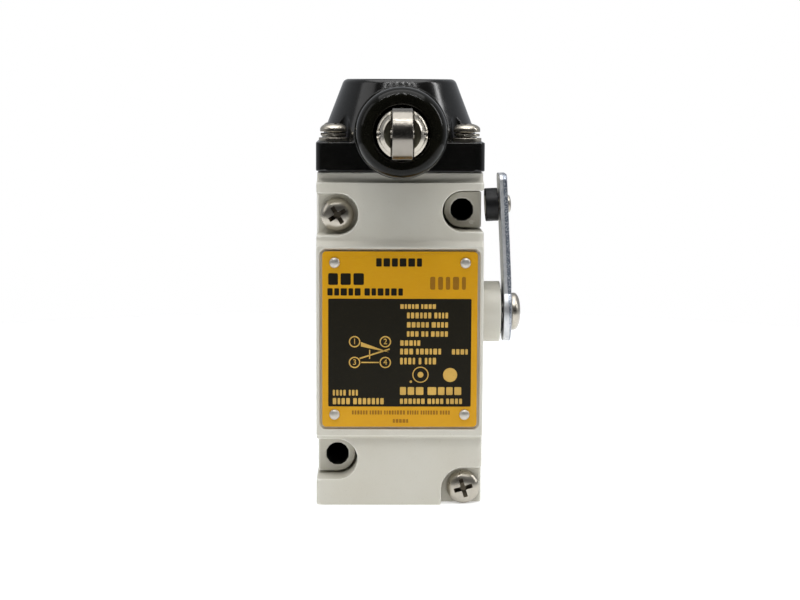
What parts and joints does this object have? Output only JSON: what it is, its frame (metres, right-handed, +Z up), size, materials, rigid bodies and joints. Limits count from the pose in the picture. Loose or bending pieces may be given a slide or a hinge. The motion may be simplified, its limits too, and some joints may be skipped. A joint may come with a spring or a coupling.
{
  "type": "limit switch",
  "caption": "Plug-in metal limit switch with a roller plunger on the head and a roller lever on the side.",
  "frame": {"origin": "middle of the two-hole fixing pattern, on the flat mounting face at the back of the receptacle", "axes": "+Y into the surface that the switch is fixed to, -Y towards the nameplate and the roller plunger, +X towards the side lever, +Z up towards the head"},
  "size_m": [0.0495, 0.0733, 0.1026],
  "materials": {
    "cream_paint": "cream-grey paint on a die-cast aluminium alloy, fine orange peel, satin",
    "black_enamel": "black baked enamel on a die casting, semi-gloss",
    "rubber": "black nitrile rubber, smooth, slightly glossy",
    "gasket_rubber": "black rubber, matt",
    "black_oxide": "black-oxided steel, satin",
    "stainless": "turned stainless steel, fine turning marks",
    "nickel": "nickel-plated steel, bright",
    "zinc": "zinc-plated pressed steel with a sheared edge",
    "yellow_plate": "printed aluminium plate, yellow and black, satin",
    "black_nylon": "black nylon, matt",
    "phenolic": "dark phenolic moulding, matt",
    "unit_plastic": "ivory thermoset moulding, matt",
    "contact_brass": "brass contact strip with silver buttons, satin",
    "bronze": "sintered bronze, satin",
    "spring_steel": "spring steel, satin"
  },
  "bodies": {
    "housing": {"receptacle": "cream_paint", "hole_plug_1": "gasket_rubber", "hole_plug_2": "gasket_rubber", "terminal_block": "phenolic", "terminal_screw_1": "nickel", "terminal_screw_2": "nickel", "terminal_screw_3": "nickel", "terminal_screw_4": "nickel", "box_gasket": "gasket_rubber", "switch_box": "cream_paint", "nameplate": "yellow_plate", "nameplate_rivet_1": "nickel", "nameplate_rivet_2": "nickel", "nameplate_rivet_3": "nickel", "nameplate_rivet_4": "nickel", "box_screw_upper": "nickel", "box_screw_lower": "nickel", "shaft_bush": "bronze", "shaft_seal": "gasket_rubber", "lever_return_spring": "spring_steel", "switch_unit_case": "unit_plastic", "switch_unit_cover": "unit_plastic", "contact_nc_left": "contact_brass", "contact_nc_right": "contact_brass", "contact_no_left": "contact_brass", "contact_no_right": "contact_brass", "contact_spring": "spring_steel", "head_housing": "black_enamel", "plunger_bearing": "black_oxide", "plunger_boot": "rubber", "head_gasket": "gasket_rubber", "rod_guide": "bronze", "plunger_spring": "spring_steel", "head_screw_1": "nickel", "head_screw_2": "nickel", "head_screw_3": "nickel", "head_screw_4": "nickel", "spring_washer_1": "spring_steel", "spring_washer_2": "spring_steel", "spring_washer_3": "spring_steel", "spring_washer_4": "spring_steel", "flat_washer_1": "nickel", "flat_washer_2": "nickel", "flat_washer_3": "nickel", "flat_washer_4": "nickel"},
    "plunger": {"plunger": "stainless", "roller_pin": "stainless"},
    "plunger_roller": {"plunger_roller": "stainless"},
    "push_rod": {"push_rod": "stainless", "cam_follower": "bronze"},
    "switch_pin": {"switch_pin": "black_nylon", "contact_bridge": "contact_brass"},
    "lever": {"lever_shaft": "stainless", "cam": "bronze", "shaft_retaining_ring": "spring_steel", "lever_arm": "zinc", "lever_screw": "nickel", "roller_rivet": "nickel"},
    "lever_roller": {"lever_roller": "black_nylon"}
  },
  "joints": [
    {"name": "plunger_slide", "type": "slide", "parent": "housing", "child": "plunger", "axis": [0, 1, 0], "range_m": [0, 0.0056], "stiffness_N_per_m": 1500, "springref_m": -0.004, "deforming": ["plunger_spring"]},
    {"name": "plunger_roller_spin", "type": "hinge", "parent": "plunger", "child": "plunger_roller", "pos_m": [0, -0.0676, 0.049], "axis": [1, 0, 0], "continuous": true},
    {"name": "push_rod_slide", "type": "slide", "parent": "housing", "child": "push_rod", "axis": [0, 0, -1], "range_m": [0, 0.0023]},
    {"name": "switch_pin_slide", "type": "slide", "parent": "housing", "child": "switch_pin", "axis": [0, 0, -1], "range_m": [0, 0.0023], "deforming": ["contact_spring"]},
    {"name": "lever_swing", "type": "hinge", "parent": "housing", "child": "lever", "pos_m": [0.02, -0.0325, 0.0052], "axis": [1, 0, 0], "range_deg": [-75, 75], "stiffness_Nm_per_rad": 0.15, "deforming": ["lever_return_spring"]},
    {"name": "lever_roller_spin", "type": "hinge", "parent": "lever", "child": "lever_roller", "pos_m": [0.02371, -0.0325, 0.0313], "axis": [0.9986, 0, 0.0523], "continuous": true}
  ],
  "couplings": [
    {"joint": "push_rod_slide", "follows": "plunger_slide", "ratio": 0.4},
    {"joint": "switch_pin_slide", "follows": "plunger_slide", "ratio": 0.4}
  ]
}
